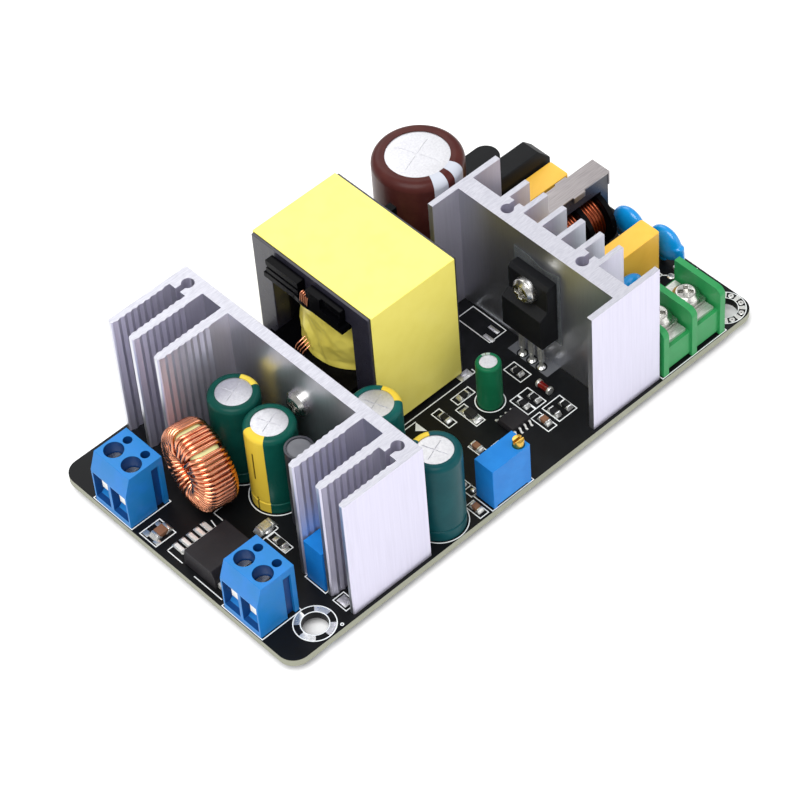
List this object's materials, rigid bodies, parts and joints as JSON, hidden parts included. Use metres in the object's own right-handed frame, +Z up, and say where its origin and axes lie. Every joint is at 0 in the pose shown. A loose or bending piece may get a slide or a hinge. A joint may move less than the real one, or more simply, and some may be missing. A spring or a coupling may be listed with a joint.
{
  "type": "power supply board",
  "caption": "Open-frame mains power supply: black board with finned heatsinks, taped transformer, electrolytics, toroid choke, trimmers and screw terminals.",
  "frame": {"origin": "centre of the board's outline, at the level of the solder tips and screw heads below it", "axes": "+X along the board from the output terminals to the input terminal, +Y from the trimmer edge to the transformer edge, +Z up"},
  "size_m": [0.12, 0.065, 0.0358],
  "materials": {
    "board": "black solder mask over glass laminate",
    "solder": "bright tin solder",
    "bare_aluminium": "plain extruded aluminium",
    "plated_steel": "nickel-plated steel",
    "tinned_metal": "tinned copper",
    "black_plastic": "moulded epoxy or plastic",
    "grey_pad": "silicone insulating pad",
    "ferrite": "dark ferrite",
    "yellow_tape": "yellow polyester tape",
    "can_metal": "drawn aluminium can",
    "brown_sleeve": "dark brown shrink sleeve",
    "green_sleeve": "dark green shrink sleeve",
    "dark_sleeve": "dark shrink sleeve",
    "powder_core": "coated powder core",
    "copper": "enamelled copper wire",
    "blue_plastic": "blue moulded plastic",
    "green_plastic": "green moulded plastic",
    "brass": "turned brass",
    "yellow_plastic": "yellow moulded box",
    "blue_coating": "blue epoxy coating",
    "red_glass": "red-tinted glass, drawn opaque",
    "black_chip": "black chip body",
    "brown_chip": "brown ceramic"
  },
  "bodies": {
    "board": {"circuit_board": "board", "solder_joints": "solder", "output_heatsink": "bare_aluminium", "input_heatsink": "bare_aluminium", "heatsink_screws": "plated_steel", "rectifier_body": "black_plastic", "rectifier_leadframe": "tinned_metal", "rectifier_screw": "plated_steel", "rectifier_nut": "plated_steel", "switch_body": "black_plastic", "switch_leads": "tinned_metal", "switch_screw": "plated_steel", "insulating_pad": "grey_pad", "transformer_core": "ferrite", "transformer_bobbin": "black_plastic", "transformer_winding": "yellow_tape", "transformer_tape": "yellow_tape", "transformer_pins": "tinned_metal", "bulk_capacitor_can": "can_metal", "bulk_capacitor_sleeve": "brown_sleeve", "output_capacitor_cans": "can_metal", "output_capacitor_sleeves": "green_sleeve", "bias_capacitor_can": "can_metal", "bias_capacitor_sleeve": "green_sleeve", "drum_choke_core": "ferrite", "drum_choke_sleeve": "dark_sleeve", "toroid_core": "powder_core", "toroid_winding": "copper", "regulator_body": "black_plastic", "regulator_leadframe": "tinned_metal", "near_output_terminal": "blue_plastic", "far_output_terminal": "blue_plastic", "output_terminal_clamps": "tinned_metal", "output_terminal_screws": "plated_steel", "input_terminal": "green_plastic", "input_terminal_plates": "tinned_metal", "input_terminal_washers": "plated_steel", "input_terminal_screws": "plated_steel", "front_trimmer_body": "blue_plastic", "rear_trimmer_body": "blue_plastic", "trimmer_pins": "tinned_metal", "bridge_body": "black_plastic", "bridge_leads": "tinned_metal", "input_fuse": "black_plastic", "front_film_capacitor": "yellow_plastic", "rear_film_capacitor": "yellow_plastic", "disc_capacitors": "blue_coating", "line_part_leads": "tinned_metal", "choke_core": "ferrite", "choke_bobbin": "black_plastic", "choke_windings": "copper", "choke_clamp": "plated_steel", "controller_chip": "black_plastic", "controller_leads": "tinned_metal", "glass_diode": "red_glass", "chip_resistors": "black_chip", "chip_capacitors": "brown_chip", "chip_terminals": "tinned_metal"},
    "front_adjuster": {"front_trimmer_screw": "brass"},
    "rear_adjuster": {"rear_trimmer_screw": "brass"}
  },
  "joints": [
    {"name": "front_adjust", "type": "hinge", "parent": "board", "child": "front_adjuster", "pos_m": [-0.00197, -0.03075, 0.0135], "axis": [0, 0, 1], "continuous": true},
    {"name": "rear_adjust", "type": "hinge", "parent": "board", "child": "rear_adjuster", "pos_m": [-0.03647, -0.02258, 0.0135], "axis": [0, 0, 1], "continuous": true}
  ]
}
